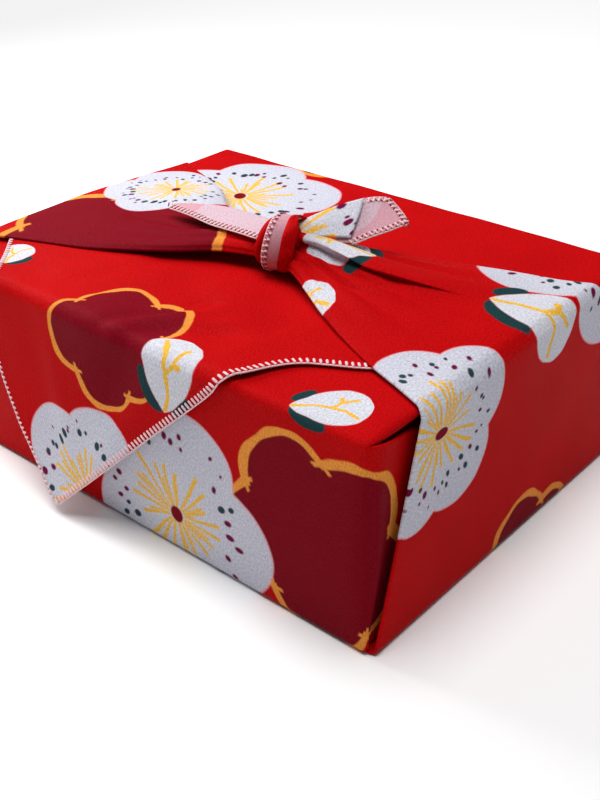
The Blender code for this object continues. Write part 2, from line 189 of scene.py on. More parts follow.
def stripRows():
    # each row: 1 or -1 for its way from the middle of the base, and its distance from there
    top, over = halfX + boxTop, 3 * halfX + boxTop
    both = (steps(0, halfX - edge, strip["baseRows"]), bend(halfX), steps(halfX + edge, top - edge, block["rowSize"]),
            bend(top))

    def overTop(rows, end):
        changeAt, before, after = rows
        return steps(top + edge, top + changeAt, before) + steps(top + changeAt, end, after)

    first = joined(*both, overTop(strip["firstRows"], top + strip["firstReach"]))
    crossings = [over - crossing + past for crossing in hemCrossings for past in (0, 0.0015, edge)]
    second = joined(*both, overTop(strip["secondRows"], over - edge), crossings, bend(over),
                    steps(over + edge, over + strip["hang"], strip["hangRows"]))
    return [(-1, p) for p in first[::-1]] + [(1, p) for p in second[1:]]


def stripPoint(sign, p, side, q):
    # one row of the strip: p from the middle of the base, q along Y or past the edge at side
    y = np.where(side == 0, q, side * halfY)
    past = np.where(side == 0, 0.0, q)
    flat = stacked(sign * p, y + side * past)
    soft = unevenness(flat, strip["swellSize"], strip["swell"], 1.3) + creases(flat)
    soft = soft * smoothStep(halfX, halfX + 0.02, p)
    upSide, along = p - halfX, p - halfX - boxTop
    if upSide <= 0:
        return aroundBlock(sign * p, y, 0.0, 0.0), flat
    if along <= 0:
        high, across = math.sin(math.pi * upSide / boxTop), np.cos(0.5 * math.pi * y / halfY)
        return aroundBlock(sign * halfX, y, upSide, (strip["wallBulge"] * across + soft * across**0.3) * high), flat
    tucked = -strip["tuckDepth"] * smoothStep(0.001, 0.009, past)
    tucked = tucked - strip["hemSink"] * smoothStep(0, 0.003, past) * (1 - smoothStep(0.002, 0.008, along))
    if sign < 0:
        return aroundBlock(along - halfX, y, boxTop - past, soft * smoothStep(0, 0.01, along) + tucked), flat
    up = 2 * halfX - along
    soft = soft + strip["softBend"] * math.exp(-((up / strip["softBendReach"]) ** 2))
    if up >= 0:
        lift = strip["layer"] * (1 - smoothStep(*strip["settles"], up))
        soft = soft * smoothStep(0, 0.02, halfY - np.abs(y))
        return aroundBlock(up - halfX, y, boxTop - past, lift + soft + tucked), flat
    fall = -up / strip["hang"]
    hangOff = strip["layer"] + (strip["hangStandOff"] - strip["layer"]) * (0.75 * fall + 0.25 * fall**4)
    y = np.clip(y, -strip["hangHalfWidth"], strip["hangHalfWidth"])
    return aroundBlock(-halfX, y, boxTop + up, hangOff + soft), flat


def foldedStrip():
    rows, sideCount, tuck = stripRows(), strip["tuckColumns"], strip["sideTuck"]
    top = halfX + boxTop
    turns = [edge * (1 - share) for share in bendShares[3:]]
    main = joined([turn - halfY for turn in turns], steps(edge - halfY, halfY - edge, block["rowSize"]),
                  [halfY - turn for turn in turns])
    side = np.array([-1] * sideCount + [0] * len(main) + [1] * sideCount)
    tuckShares = np.linspace(0, 1, sideCount + 1)[1:] ** 1.3
    points, flats = [], []
    for sign, p in rows:
        start, stop, tucks = -halfY, halfY, (tuck, tuck)
        if sign > 0 and p > top:
            up = 2 * halfX - (p - top)
            start, stop = (curveValue(strip[name], up * 1000) * 0.001 for name in ("rightHem", "leftHem"))
            start, stop = max(start, -halfY), min(stop, halfY)
            tucks = [min(max(up - crossing, 1e-4), tuck) for crossing in hemCrossings]
        across = start + (stop - start) * (0.5 + 0.5 * main / halfY)
        q = np.concatenate((tucks[0] * tuckShares[::-1], across, tucks[1] * tuckShares))
        row, flat = stripPoint(sign, p, side, q)
        points.append(row)
        flats.append(flat)
    points = np.array(points)
    # the base stays a flat sheet between its bends, and the tucks past the sides end short of the hems
    keep = np.ones((len(rows) - 1, len(side) - 1), bool)
    for i in range(len(rows) - 1):
        low, high = sorted((rows[i][1], rows[i + 1][1]))
        sign = rows[i][0] if rows[i][1] > 0 else rows[i + 1][0]
        for j in range(len(side) - 1):
            out = side[j] or side[j + 1]
            if high <= halfX + 1e-6:
                keep[i, j] = out == 0 and np.abs(main[j - sideCount:j - sideCount + 2]).max() < halfY - edge + 1e-6
            elif out != 0:
                crossing = hemCrossings[0 if out < 0 else 1]
                limit = crossing - strip["firstTuckClear"] if sign < 0 else 2 * halfX - crossing
                keep[i, j] = low > top - 1e-6 and high < top + limit + 1e-6
    hemLines = []
    for crossing, column, inward in zip(hemCrossings, (sideCount, sideCount + len(main) - 1), (1, -1)):
        hanging = [i for i, (sign, p) in enumerate(rows) if sign > 0 and p >= top + 2 * halfX - crossing - 1e-6]
        hemLines.append((points[hanging, column], points[hanging, column + inward]))
    return {"points": points, "flats": np.array(flats), "keep": keep, "turned": True}, hemLines


# the corner wings

# the cloth turns each upright corner and dips behind the arm; its top edge is a fold that
# falls away from the block's edge and leaves an open pocket
wing = {"reach": 0.062, "fall": 0.27, "standOff": 0.0013, "dip": 0.0036, "deepest": -0.0022, "foldRadius": 0.0007,
        "armFoot": 0.002, "armSlant": 0.27, "columnSize": 0.0034, "behind": (0.004, 0.01, 0.018)}


def cornerWing(sign, side):
    radius = wing["foldRadius"]
    tall = joined(steps(edge, boxTop - edge, block["rowSize"]), [boxTop - edge * share for share in bendShares[4:6]])
    past = joined([edge * share for share in (*bendShares[3:], 1.6, 2.3)],
                  steps(edge * 3, wing["reach"], wing["columnSize"]))
    rise, reach = grid(tall, past)
    topLine = tall[-1] - wing["fall"] * past
    z = rise * (topLine / tall[-1])

    def outerOff(z, reach):
        armEdge = np.maximum(wing["armFoot"] + wing["armSlant"] * z, 0.004)
        dip = wing["dip"] * smoothStep(0.25, 1.1, reach / armEdge)
        return np.maximum(wing["standOff"] * smoothStep(0, edge * 2, reach) - dip, wing["deepest"])

    # height, distance off the block and place on the cloth of each row
    standOff = outerOff(z, reach)
    rows = [(z, standOff, z)]
    for turn in np.radians((60.0, 120.0, 180.0)):
        off = standOff[-1] - radius * (1 - math.cos(turn))
        rows.append((topLine + radius * math.sin(turn), off, topLine + radius * turn))
    for drop in wing["behind"]:
        behind = np.minimum(outerOff(topLine - drop, past), standOff[-1]) - 2 * radius
        rows.append((topLine - drop, behind, topLine + radius * math.pi + drop))
    heights, offs, places = (np.vstack(column) for column in zip(*rows))
    points = aroundBlock(sign * (halfX - past), side * halfY, heights, offs)
    flats = stacked(sign * (halfX + places), side * (halfY + past))
    return {"points": points, "flats": flats, "turned": sign * side > 0}


# the tied arms

arms = {
    "standOff": 0.0029, "footInset": 0.002, "footOverlap": 0.012, "footSink": -0.0002, "bulge": 0.001,
    "foldRadius": 0.0008, "underShare": 0.44, "swell": 0.00025, "swellSize": 0.04, "farDrop": 0.002,
    "footRows": 0.004,
    # over the top: length of the finer rows at the knot, row size before and in them
    "topRows": (0.05, 0.003, 0.0022),
    # columns beside the doubled pleat, in it, under the arm and round each folded edge
    "columns": (24, 14, 8, 7),
    "pleatHalfWidth": 0.0018,
    # the reverse is printed too this far from the middle and in from the edge, inside the pleats
    "printedInside": (0.08, 0.147),
    # each row in millimetres: distance in from the block's edge, near and far folded edge along X,
    # height of the folded edges above the top, how much higher the cloth stands between them
    "right": ((0, -72.5, 66.5, 3, 1), (15, -66.5, 59.5, 3.1, 2.5), (35, -59, 52.5, 3.2, 4.5), (55, -50, 41.5, 4, 6.2),
              (75, -40, 29.5, 5.6, 7.4), (92, -30.5, 20.5, 7.6, 8.2), (106, -23.5, 10.4, 9.6, 9.2),
              (122, -18.5, -4.2, 11.2, 9.2)),
    "left": ((0, -76.5, 68, 3, 1), (15, -70.5, 61, 3.1, 2.2), (35, -63, 52.5, 3.2, 3.6), (55, -56.5, 41.5, 3.8, 4.8),
             (78, -46, 23.5, 5.2, 5.8), (99, -36, 13, 7, 6.6), (118, -26.2, 5.5, 9.2, 7.6), (134, -22, -1, 10.4, 7.6),
             (146, -18, -5, 10.8, 6.8)),
    # share across at the knot and at the edge, width share, depth at the knot, reach as a share
    "rightPleats": ((0.33, 0.6, 0.048, 0.0038, 0.95), (0.3, 0.24, 0.034, 0.0028, 0.95), (0.46, 0.4, 0.026, 0.0021, 1.1),
                    (0.38, 0.31, 0.014, 0.001, 0.8), (0.53, 0.5, 0.016, 0.0011, 0.9), (0.72, 0.82, 0.042, 0.0026, 0.8),
                    (0.14, 0.12, 0.038, 0.0016, 0.75), (0.88, 0.92, 0.04, 0.0012, 0.7),
                    (0.16, 0.52, 0.026, 0.0015, 1.15), (0.24, 0.36, 0.018, 0.001, 1.0)),
    "leftPleats": ((0.4, 0.34, 0.045, 0.002, 0.85), (0.68, 0.78, 0.045, 0.0018, 0.75), (0.2, 0.16, 0.04, 0.0013, 0.85),
                   (0.3, 0.24, 0.018, 0.0007, 0.7)),
    # the deep pleat that lies over itself
    "rightFold": {"atKnot": 0.42, "atEdge": 0.66, "overlap": 0.0021, "rise": 0.0028, "run": 5.0, "fades": (0.42, 0.8)},
    "leftFold": {"atKnot": 0.55, "atEdge": 0.6, "overlap": 0.0019, "rise": 0.0024, "run": 5.0, "fades": (0.3, 0.7)},
}


def foldedLayer(share, middle, width, fold):
    # sideways and upward shift of a pleat that doubles the cloth over itself
    inside = np.clip((share - middle) / width * 0.5 + 0.5, 0.0, 1.0)
    beyond = np.maximum(np.abs(share - middle) - width, 0.0) / width
    run = fold["run"] * np.where(share > middle, 1.0, 0.7)
    rise = fold["rise"] * (smoothStep(0, 1, inside) - 0.5) * np.exp(-beyond / run)
    return fold["overlap"] * np.sin(2 * math.pi * inside), rise


def tiedArm(name, side):
    rows, fold, radius = np.array(arms[name]) * 0.001, arms[name + "Fold"], arms["foldRadius"]
    end = rows[-1, 0]
    fineLength, rowSize, fineSize = arms["topRows"]
    fine = boxTop + end - fineLength
    tall = joined(steps(-arms["footOverlap"], -edge, arms["footRows"]), bend(0.0),
                  steps(edge, boxTop - edge, block["rowSize"]), bend(boxTop), steps(boxTop + edge, fine, rowSize),
                  steps(fine, boxTop + end, fineSize))
    besideCount, withinCount, underCount, turnCount = arms["columns"]
    points, flats = [], []
    for place in tall:
        inward = max(place - boxTop, 0.0)
        near, far, rise, crest = (curveValue(rows[:, (0, k)], inward) for k in (1, 2, 3, 4))
        if place <= boxTop:
            climb, foot = max(place, 0) / boxTop, halfX - arms["footInset"]
            near, far = -foot + (near + foot) * climb, foot + (far - foot) * climb
            rise = arms["footSink"] + (arms["standOff"] - arms["footSink"]) * smoothStep(-edge, edge, place)
            crest = arms["bulge"] * smoothStep(0.2 * boxTop, boxTop, place)
        toEdge = 1 - inward / end
        # columns run under the near edge, round it, over the top, round the far edge and under again
        width = arms["pleatHalfWidth"] / (far - near)
        middle = fold["atKnot"] + (fold["atEdge"] - fold["atKnot"]) * toEdge
        under = np.linspace(arms["underShare"], 0.02, underCount)
        turn = np.linspace(math.pi, 0, turnCount)
        upper = np.concatenate((np.linspace(0, middle - width, besideCount + 1)[1:],
                                np.linspace(middle - width, middle + width, withinCount + 1)[1:-1],
                                np.linspace(middle + width, 1, besideCount + 1)[:-1]))
        share = np.concatenate((under, 0 * turn, upper, 0 * turn + 1, 1 - under[::-1]))
        drop = np.concatenate((0 * under - 2, np.cos(turn) - 1, 0 * upper, np.cos(turn[::-1]) - 1, 0 * under - 2))
        shift = np.concatenate((0 * under + 1, 1 - np.sin(turn), 0 * upper, np.sin(turn) - 1, 0 * under - 1))
        top = np.concatenate((0 * under, 0 * turn + 1, 0 * upper + 1, 0 * turn + 1, 0 * under))
        x, arch = near + (far - near) * share, np.sin(math.pi * share)
        flat = stacked(x, side * (halfY + place))
        lift = rise + crest * arch**0.7 * (0.75 + 0.25 * top)
        sag = arms["farDrop"] * smoothStep(0.45, 0.95, share) * smoothStep(0.5 * boxTop, boxTop, place)
        lift = lift - sag * (1 - smoothStep(0.01, 0.07, inward))
        gather = smoothStep(0, 0.02, inward)
        for atKnot, atEdge, wide, depth, run in arms[name + "Pleats"]:
            fade = gather * (1 - smoothStep(0.35 * run, run, toEdge))
            apart = (share - atKnot - (atEdge - atKnot) * toEdge) / wide
            lift = lift - depth * fade * np.exp(-np.abs(apart) ** 1.6)
        fade = gather * (1 - smoothStep(*fold["fades"], toEdge))
        over, step = foldedLayer(share, middle, width, fold)
        x, lift = x + over * fade * top, lift + step * fade
        swell = unevenness(flat, arms["swellSize"], arms["swell"], 4.0 + side) * arch * smoothStep(0, 0.03, place)
        spot = aroundBlock(x + shift * radius, inward - halfY - min(place, 0.0), min(max(place, 0.0), boxTop),
                           lift + swell + drop * radius, sides=False)
        spot[:, 1] *= -side
        points.append(spot)
        flats.append(flat)
    return {"points": np.array(points), "flats": np.array(flats), "turned": side < 0}


# the knot

# a ring is given by its middle, the way its axis points (0 is -Y, turning to +X) and its reach
knot = {
    "middle": (-0.0118, -0.0126, 0.1172),
    "axisTurn": math.radians(25.0),
    "reach": (0.0114, 0.0108),
    "core": (0.0107, 0.0092, 0.01),
    "coreShift": (0, -0.0004, 0),
    "coreSteps": (41, 25),
    # the front band across in millimetres, from the hem to the roll's under side: along the axis, height out
    "frontAcross": ((-4.1, 1.2), (-2, 1.6), (0.5, 1.5), (3.2, 1.1), (6.2, 0.8), (8.6, 0.6), (10, 1), (10.5, 2),
                    (9.8, 3.1), (8, 3.8), (6, 3.9), (4.3, 3.3), (3.6, 2.2), (4.2, 1.6)),
    "frontSteps": (81, 53),
    # the band's stretch that shows its hem, in steps round the ring
    "hemStretch": (10, 58),
    "backMiddle": (-0.0108, -0.0072, 0.116),
    "backReach": (0.0108, 0.0102),
    "backHalfWidth": 0.0036,
    "backTurn": math.radians(8.0),
    "backSteps": (61, 17),
}


def ringPoints(middle, turn, reach, angle, out, along):
    x, z = (reach[0] + out) * np.cos(angle), (reach[1] + out) * np.sin(angle)
    return stacked(middle[0] + x * math.cos(turn) + along * math.sin(turn),
                   middle[1] + x * math.sin(turn) - along * math.cos(turn), middle[2] + z)


def frontBand():
    # hem and pale reverse on the left, rolled printed cloth on the right
    count, acrossCount = knot["frontSteps"]
    across = smoothLine(knot["frontAcross"], acrossCount) * 0.001
    turnAt, widthAt = grid(np.linspace(0, 2 * math.pi, count), across[:, 0])
    # narrower on top, where the loose end leaves, and under the knot
    degrees = np.degrees(turnAt)
    onTop, beneath = (np.exp(-((degrees - place) / spread) ** 2) for place, spread in ((75, 42.0), (262, 40.0)))
    run = runAlong(across)
    rolled, onto = (smoothStep(low, high, run / run[-1]) for low, high in ((0.32, 0.52), (0.6, 0.74)))
    along = widthAt * (1 - 0.12 * beneath) - (0.0012 * onTop + 0.003 * beneath) * rolled
    along = along - 0.55 * onTop * rolled * np.maximum(widthAt - across[-1, 0], 0)
    lift = across[:, 1] * (1 - 0.45 * onTop * onto - 0.2 * beneath - 0.4 * beneath * onto)
    pull = 0.0005 * np.cos(3 * turnAt + 0.6) + 0.0003 * np.cos(7 * turnAt + 300 * widthAt) * onto
    lean = 0.0022 * np.cos(turnAt - math.radians(55))
    points = ringPoints(knot["middle"], knot["axisTurn"], knot["reach"], turnAt, lift + pull, along + lean)
    start, stop = knot["hemStretch"]
    hemLine = points[start:stop, 0], points[start:stop, 3]
    return {"points": points, "flats": stacked(0.012 * turnAt - 0.12, run - 0.42), "turned": True}, hemLine


def backBand():
    count, acrossCount = knot["backSteps"]
    turnAt, widthAt = grid(np.linspace(0, 2 * math.pi, count), np.linspace(-1.15, 1.15, acrossCount))
    groove = np.exp(-(((widthAt - 0.15) / 0.22) ** 2))
    crown = 0.0028 * np.sqrt(np.clip(1 - (widthAt / 1.16) ** 2, 0, 1)) - 0.0011 * groove
    across = knot["backHalfWidth"] * widthAt
    points = ringPoints(knot["backMiddle"], knot["backTurn"], knot["backReach"], turnAt, crown - 0.0008,
                        across + 0.0018 * np.sin(turnAt))
    return {"points": points, "flats": stacked(0.02 + 0.012 * turnAt, 0.42 + across), "turned": False}


def knotCore():
    # the bunched cloth inside both bands
    count, acrossCount = knot["coreSteps"]
    lon, lat = grid(np.linspace(0, 2 * math.pi, count), np.linspace(-0.5 * math.pi, 0.5 * math.pi, acrossCount))
    ridge = 1 + 0.035 * np.cos(7 * lon + 1.5 * np.sin(lat))
    girth = np.maximum(np.cos(lat), 0) ** 0.75
    direction = stacked(np.cos(lon) * girth, np.sin(lat), np.sin(lon) * girth)
    points = np.array(knot["middle"]) + knot["coreShift"] + direction * knot["core"] * ridge[..., None]
    return {"points": points, "flats": stacked(0.0125 * lon - 0.12, 0.0175 * lat - 0.37), "turned": True}


# the loose ends

# rows of points in millimetres from the upper to the lower edge, from the knot outwards
tails = {
    "rightPrinted": (
        ((-9.8, -12.5, 123.2), (-10.8, -14, 122.2), (-12, -15.5, 120.8)),
        ((2.2, -18.2, 126.8), (-1.3, -21.9, 125), (-4.4, -26.1, 121.2)),
        ((14.2, -24.6, 130), (7.6, -29.4, 126.4), (1.6, -34.9, 121.2)),
        ((25, -31.6, 132), (15, -36.2, 127.4), (4.2, -40, 121.4)),
    ),
    "rightPlain": (
        ((10, -23, 125.8), (6, -29, 121.8), (1, -34.5, 118.2)),
        ((20, -28.5, 129), (11, -35, 122.8), (4.7, -41.2, 118.6)),
        ((26.2, -32.2, 130.8), (17.5, -39.5, 124.4), (12, -45.5, 120.4)),
        ((30, -36.2, 131.2), (24.5, -43.5, 126.2), (20.5, -50.8, 122.4)),
        ((32.8, -40, 131), (31.2, -47, 127.8), (28.3, -54.5, 124.2)),
    ),
    "left": (
        ((-7.5, -11.5, 122.5), (-12, -12, 120.5), (-16.5, -12.5, 118)),
        ((-6, -2, 122.8), (-13, -3.5, 121.2), (-18.8, -5, 118.8)),
        ((-4.8, 15.1, 122.3), (-12, 12, 120.8), (-18.6, 8.5, 118.6)),
        ((-5.3, 31.3, 121.6), (-11.5, 29.5, 119.8), (-18.2, 26.2, 117.8)),
        ((-7.9, 45.4, 120.2), (-12.2, 44, 119), (-16.2, 42.5, 117.8)),
        ((-11.8, 57.5, 118.8), (-13.2, 58.5, 118.2), (-15, 58.8, 117.4)),
    ),
}


def looseEnd(name, length, width, corner, turned):
    fine = smoothLine(np.array(tails[name]) * 0.001, length)
    fine = np.swapaxes(smoothLine(np.swapaxes(fine, 0, 1), width), 0, 1)
    wide, runs = np.linalg.norm(fine[:, 0] - fine[:, -1], axis=-1), runAlong(fine[:, width // 2])
    flats = stacked(corner[0] + wide[:, None] * np.linspace(-0.5, 0.5, width), corner[1] + runs[:, None])
    return {"points": fine, "flats": flats, "turned": turned}


# the print

# motifs on the flat cloth: place in metres from its middle, radius, turn in degrees
printed = {
    "blossom": ((0.4905, 0.019, 0.0448, 56), (-0.1243, -0.0268, 0.0565, 56), (-0.0612, -0.2222, 0.0428, 57),
                (0.0876, -0.26, 0.0551, 46), (0.0226, 0.2744, 0.039, 20), (0.2602, 0.0705, 0.0534, 14),
                (0.009, -0.456, 0.054, 10), (-0.004, 0.468, 0.036, 60), (0.15, -0.085, 0.05, 30),
                (0.0, 0.03, 0.048, 12), (-0.045, 0.182, 0.044, 40)),
    "outlined": ((0.409, 0.0078, 0.0376, 2), (-0.146, -0.1107, 0.053, 3), (0.014, -0.1082, 0.0454, 40),
                 (-0.044, 0.2935, 0.0635, -3), (0.162, 0.056, 0.05, 20), (0.056, 0.176, 0.043, 50),
                 (-0.205, 0.056, 0.042, 30)),
    # a fifth number of -1 mirrors a bud
    "bud": ((0.4142, -0.0318, 0.0186, 184, -1), (0.0223, -0.2403, 0.0233, 69), (-0.2158, -0.1064, 0.0162, 234),
            (-0.0396, -0.3225, 0.0155, 40), (0.0022, -0.3328, 0.0176, 260), (0.3865, 0.101, 0.0118, 150),
            (0.156, -0.012, 0.022, 250), (0.002, 0.208, 0.022, 100)),
}


def newPiece(mesh, cleanUp):
    shaped = bmesh.new()
    shaped.from_mesh(mesh)
    cleanUp(shaped)
    shaped.to_mesh(mesh)
    shaped.free()
    return newObject(mesh.name, mesh)


def mergeRows(shaped):
    bmesh.ops.remove_doubles(shaped, verts=shaped.verts, dist=2e-5)
    bmesh.ops.dissolve_degenerate(shaped, edges=shaped.edges, dist=1e-6)
    bmesh.ops.delete(shaped, geom=[vert for vert in shaped.verts if not vert.link_faces], context="VERTS")


def assemble(name, patches):
    vertices, flats, faces, start = [], [], [], 0
    for patch in patches:
        rows, columns = patch["points"].shape[:2]
        i, j = np.nonzero(patch.get("keep", np.ones((rows - 1, columns - 1), bool)))
        first = start + i * columns + j
        corners = stacked(first, first + columns, first + columns + 1, first + 1)
        faces.append(corners[:, ::-1] if patch["turned"] else corners)
        vertices.append(patch["points"].reshape(-1, 3))
        flats.append(patch["flats"].reshape(-1, 2))
        start += rows * columns
    vertices, flats, faces = (np.concatenate(part) for part in (vertices, flats, faces))
    mesh = bpy.data.meshes.new(name)
    mesh.from_pydata(vertices.tolist(), [], faces.tolist())
    layer = mesh.uv_layers.new(name="flatCloth")
    layer.data.foreach_set("uv", flats[faces.reshape(-1)].astype(np.float32).reshape(-1))
    return newPiece(mesh, mergeRows)


def placePrint(piece):
    # each face carries its place in the nearest motif of each kind, so one node group draws them all
    mesh = piece.data
    flat = np.zeros(len(mesh.loops) * 2, np.float32)
    mesh.uv_layers["flatCloth"].data.foreach_get("uv", flat)
    flat = flat.reshape(-1, 2)
    starts, totals = (np.zeros(len(mesh.polygons), np.int32) for k in range(2))
    mesh.polygons.foreach_get("loop_start", starts)
    mesh.polygons.foreach_get("loop_total", totals)
    middles = np.add.reduceat(flat, starts, axis=0) / totals[:, None]
    owner = np.repeat(np.arange(len(totals)), totals)
    for kind, motifs in printed.items():
        table = np.array([(*motif, 1)[:5] for motif in motifs])
        nearest = np.argmin(np.linalg.norm(middles[:, None] - table[None, :, :2], axis=-1) / table[:, 2], axis=1)
        mine = table[nearest[owner]]
        x, y = ((flat - mine[:, :2]) / mine[:, 2:3]).T
        c, s = np.cos(np.radians(mine[:, 3])), np.sin(np.radians(mine[:, 3]))
        local = stacked(c * x + s * y, mine[:, 4] * (c * y - s * x))
        mesh.uv_layers.new(name=kind + "Place").data.foreach_set("uv", local.astype(np.float32).reshape(-1))
        seeds = (3.7 * nearest + 1.3).astype(np.float32)
        mesh.attributes.new(kind + "Seed", "FLOAT", "FACE").data.foreach_set("value", seeds)


# node helpers

number, vector = "NodeSocketFloat", "NodeSocketVector"


def link(socket, value):
    if isinstance(value, (int, float, tuple)):
        socket.default_value = value
    else:
        socket.id_data.links.new(value, socket)


def addNode(kind, inputs, tree=None, **settings):
    # into the given tree, or the one its inputs come from
    tree = tree or next(value.id_data for value in inputs.values() if isinstance(value, bpy.types.NodeSocket))
    node = tree.nodes.new("ShaderNode" + kind)
    for name, value in settings.items():
        setattr(node, name, value)
    for name, value in inputs.items():
        link(node.inputs[name], value)
    return node


def calc(operation, *values, clamp=False):
    return addNode("Math", dict(enumerate(values)), operation=operation, use_clamp=clamp).outputs[0]


def minus(first, second):
    return calc("SUBTRACT", first, second)


def times(first, second):
    return calc("MULTIPLY", first, second)


def scaled(value, factor, plus, clamp=False):
    return calc("MULTIPLY_ADD", value, factor, plus, clamp=clamp)


def weighed(first, firstShare, second, secondShare, clamp=False):
    return scaled(first, firstShare, times(second, secondShare), clamp)


def distance(x, y):
    return calc("SQRT", weighed(x, x, y, y))


def softMask(value, blur):
    # 1 where value is below zero, with a soft rim
    return scaled(value, -1.0 / blur, 0.5, clamp=True)


def below(value, limit, blur):
    return softMask(minus(value, limit), blur)


def nearLine(value, halfWidth, blur):
    return below(calc("ABSOLUTE", value), halfWidth, blur)


def combined(operation, values):
    result = values[0]
    for value in values[1:]:
        result = calc(operation, result, value)
    return result


def noise(place, scale, detail=2.0, seed=None, rough=0.5):
    inputs = {"Vector": place, "Scale": scale, "Detail": detail, "Roughness": rough}
    if seed is not None:
        inputs["W"] = seed
    return addNode("TexNoise", inputs, noise_dimensions="3D" if seed is None else "4D")


def mixColour(share, first, second):
    return addNode("Mix", {0: share, 6: first, 7: second}, data_type="RGBA").outputs[2]


def newGroup(name, **inputs):
    tree = bpy.data.node_groups.new(name, "ShaderNodeTree")
    for label, kind in inputs.items():
        tree.interface.new_socket(name=label, in_out="INPUT", socket_type=kind)
    return tree.nodes.new("NodeGroupInput").outputs[:len(inputs)]


def closeGroup(**values):
    tree = next(iter(values.values())).id_data
    for label in values:
        tree.interface.new_socket(name=label, in_out="OUTPUT", socket_type=number)
    end = tree.nodes.new("NodeGroupOutput")
    for label, value in values.items():
        link(end.inputs[label], value)
    return tree


def wobbled(place, seed, scale, amount):
    # x and y of a place, shifted a little by slow noise, and the noise
    drift = noise(place, scale, 1.0, seed)
    centred = addNode("VectorMath", {0: place, 1: (-0.5 * amount, -0.5 * amount, 0.0)}, operation="ADD")
    moved = addNode("VectorMath", {0: drift.outputs["Color"], 1: (amount, amount, 0.0), 2: centred.outputs[0]},
                    operation="MULTIPLY_ADD")
    x, y = addNode("SeparateXYZ", {0: moved.outputs[0]}).outputs[:2]
    return x, y, drift.outputs[0]


# shared effects

softRim = 0.016


def petalEdges(place, seed, wobble, reach, size):
    # signed distance to a five-petalled edge, and to the next petal's circle
    x, y, drift = wobbled(place, seed, 1.6, wobble)
    radius, angle = distance(x, y), calc("ARCTAN2", y, x)
    fold = calc("PINGPONG", angle, math.pi / 5)
    along, across = (times(radius, calc(wave, fold)) for wave in ("COSINE", "SINE"))
    edges = []
    for turn in (0.0, 2 * math.pi / 5):
        offX, offY = minus(along, reach * math.cos(turn)), minus(across, reach * math.sin(turn))
        edges.append(minus(distance(offX, offY), size))
    return x, y, radius, angle, drift, *edges


def scattered(radius, angle, seed, count, salt):
    # cells round the middle, each with its own three random numbers and its own angle from the cell's middle
    turn = times(angle, count / (2 * math.pi))
    cell = calc("FLOOR", turn)
    salted = calc("ADD", calc("ADD", cell, seed), salt)
    dice = addNode("TexWhiteNoise", {"W": salted}, noise_dimensions="1D")
    one, two, three = addNode("SeparateColor", {0: dice.outputs["Color"]}).outputs
    beside = minus(minus(turn, cell), scaled(one, 0.5, 0.25))
    sideways = times(times(beside, 2 * math.pi / count), radius)
    return calc("ABSOLUTE", sideways), one, two, three


whiteBlossom = {
    # noise, the petals' distance from the middle, and their radius
    "petals": (0.16, 0.5, 0.52),
    # golden strokes: how many round the middle, first random number, shortest, spread of their length
    "strokes": ((20, 0.0, 0.34, 0.26), (15, 20.0, 0.2, 0.26)),
    "strokesBegin": 0.075,
    # dots round the strokes, in two rings: how many, first random number, radius, its spread, size
    "dots": ((30, 40.0, 0.54, 0.14, 0.032), (26, 80.0, 0.65, 0.15, 0.025)),
    "dotsLeftOut": 0.14,
    "tealDots": 0.48,
    "heart": 0.078,
}


def blossomGroup():
    place, seed = newGroup("whiteBlossom", Place=vector, Seed=number)
    x, y, radius, angle, drift, petalEdge, nextEdge = petalEdges(place, seed, *whiteBlossom["petals"])
    strokes, dots, tones = [], [], []
    for count, salt, shortest, spread in whiteBlossom["strokes"]:
        sideways, one, two, three = scattered(radius, angle, seed, count, salt)
        stroke = below(sideways, scaled(radius, 0.024, 0.008), softRim)  # wider at the outer end
        strokes.append(times(stroke, below(radius, scaled(two, spread, shortest), 0.03)))
    begins = below(whiteBlossom["strokesBegin"], radius, 0.03)
    for count, salt, middle, spread, size in whiteBlossom["dots"]:
        sideways, one, two, three = scattered(radius, angle, seed, count, salt)
        out = calc("DIVIDE", minus(radius, scaled(two, spread, middle)), 1.35)
        dot = below(distance(out, sideways), times(scaled(one, 0.7, 0.5), size), 0.014)
        dots.append(times(dot, calc("GREATER_THAN", three, whiteBlossom["dotsLeftOut"])))
        teal = calc("GREATER_THAN", calc("FRACT", times(three, 7.3)), whiteBlossom["tealDots"])
        tones.append(times(dots[-1], teal))
    heart = distance(weighed(x, 1.08, y, 0.73), weighed(x, -0.52, y, 0.78))
    return closeGroup(Petal=softMask(petalEdge, softRim),
                      Rim=nearLine(calc("ADD", petalEdge, 0.004), 0.01, softRim),
                      Stamen=times(combined("MAXIMUM", strokes), begins),
                      Dot=combined("MAXIMUM", dots), DotTone=combined("MAXIMUM", tones),
                      Heart=below(heart, whiteBlossom["heart"], softRim),
                      Shade=weighed(radius, 0.35, drift, 0.4, clamp=True))


outlinedBlossom = {
    "petals": (0.2, 0.48, 0.48),
    # the brush line's half width: noise times the first number plus the second
    "brush": (0.08, -0.002),
    "thinLine": 0.018,
    "pastNotch": 0.085,
    "lineFrom": 0.45,
}


def outlinedGroup():
    place, seed = newGroup("outlinedBlossom", Place=vector, Seed=number)
    x, y, radius, angle, drift, petalEdge, nextEdge = petalEdges(place, seed, *outlinedBlossom["petals"])
    # a brush line round the petals, swelling and thinning, that runs on a little past each notch
    width = scaled(noise(place, 3.1, 1.0, seed).outputs[0], *outlinedBlossom["brush"])
    line = nearLine(petalEdge, width, 0.014)
    past = nearLine(nextEdge, outlinedBlossom["thinLine"], 0.014)
    strokes = calc("MAXIMUM", line, times(past, nearLine(petalEdge, outlinedBlossom["pastNotch"], 0.02)))
    outer = below(outlinedBlossom["lineFrom"], radius, 0.1)  # the petals' circles also meet in the middle
    return closeGroup(Fill=softMask(petalEdge, softRim), Line=times(strokes, outer))


